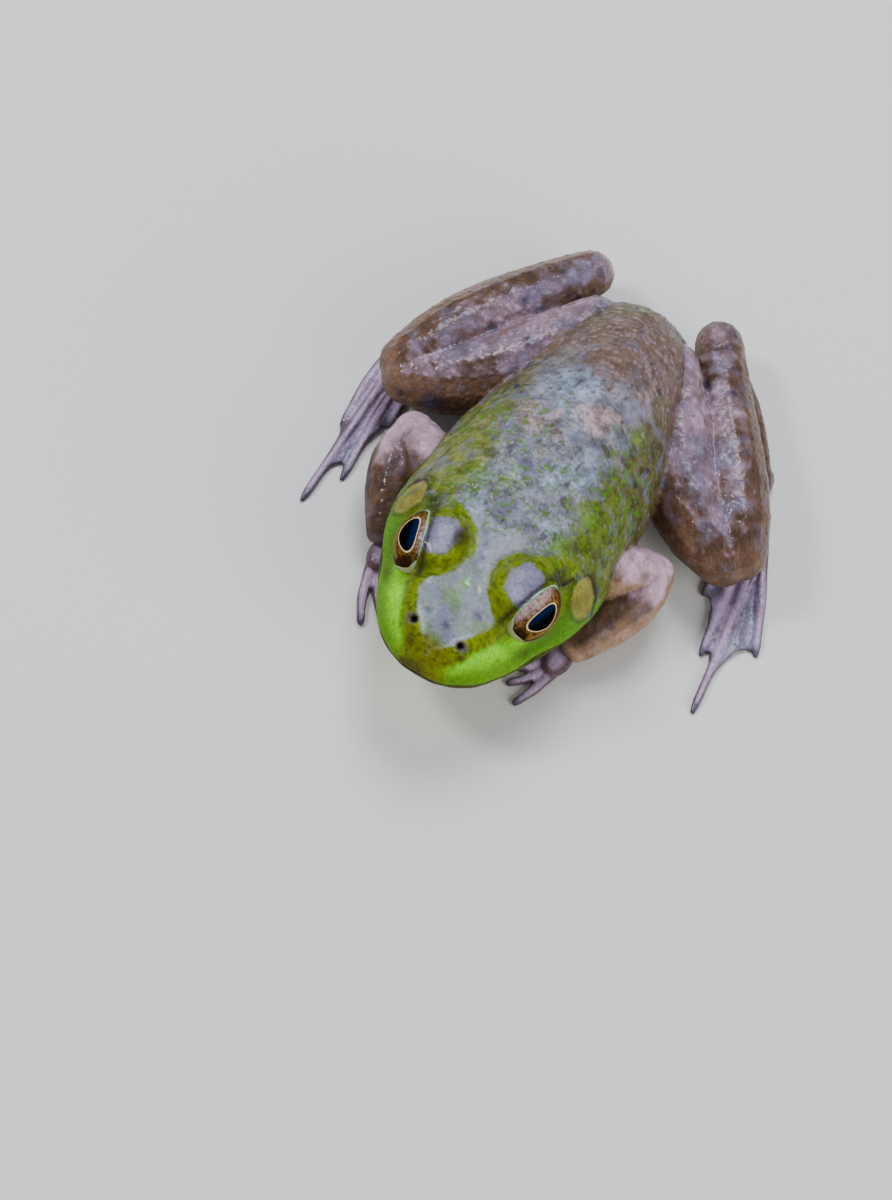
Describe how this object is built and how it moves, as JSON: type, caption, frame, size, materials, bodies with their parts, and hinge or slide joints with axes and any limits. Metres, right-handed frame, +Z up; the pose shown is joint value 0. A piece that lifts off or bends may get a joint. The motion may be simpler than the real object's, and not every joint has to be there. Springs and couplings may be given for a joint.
{
  "type": "bullfrog",
  "caption": "Young bullfrog sitting with folded hind legs, webbed feet and raised eyes, as a still life-size display model.",
  "frame": {"origin": "on the flat under the belly, at floor level, on the midline between the fore and hind legs", "axes": "+Z up, -Y forward out of the snout, +X to the frog's left"},
  "size_m": [0.0574, 0.0644, 0.0209],
  "materials": {
    "back_skin": "wet, mottled grey-blue, brown and olive",
    "lip_skin": "wet, bright green to olive",
    "throat_skin": "wet, pale cream",
    "leg_skin": "wet, purple-brown with fine warts",
    "toe_skin": "wet, grey-lilac",
    "eye": "high gloss",
    "eardrum_skin": "wet, tan-olive"
  },
  "bodies": {
    "root": {"trunk": "back_skin", "head": "lip_skin", "lower_jaw": "throat_skin", "left_eye": "eye", "left_eardrum": "eardrum_skin", "left_upper_arm": "leg_skin", "left_forearm": "leg_skin", "left_hand": "toe_skin", "left_thigh": "leg_skin", "left_shank": "leg_skin", "left_ankle": "leg_skin", "left_foot": "toe_skin", "right_eye": "eye", "right_eardrum": "eardrum_skin", "right_upper_arm": "leg_skin", "right_forearm": "leg_skin", "right_hand": "toe_skin", "right_thigh": "leg_skin", "right_shank": "leg_skin", "right_ankle": "leg_skin", "right_foot": "toe_skin"}
  },
  "joints": []
}
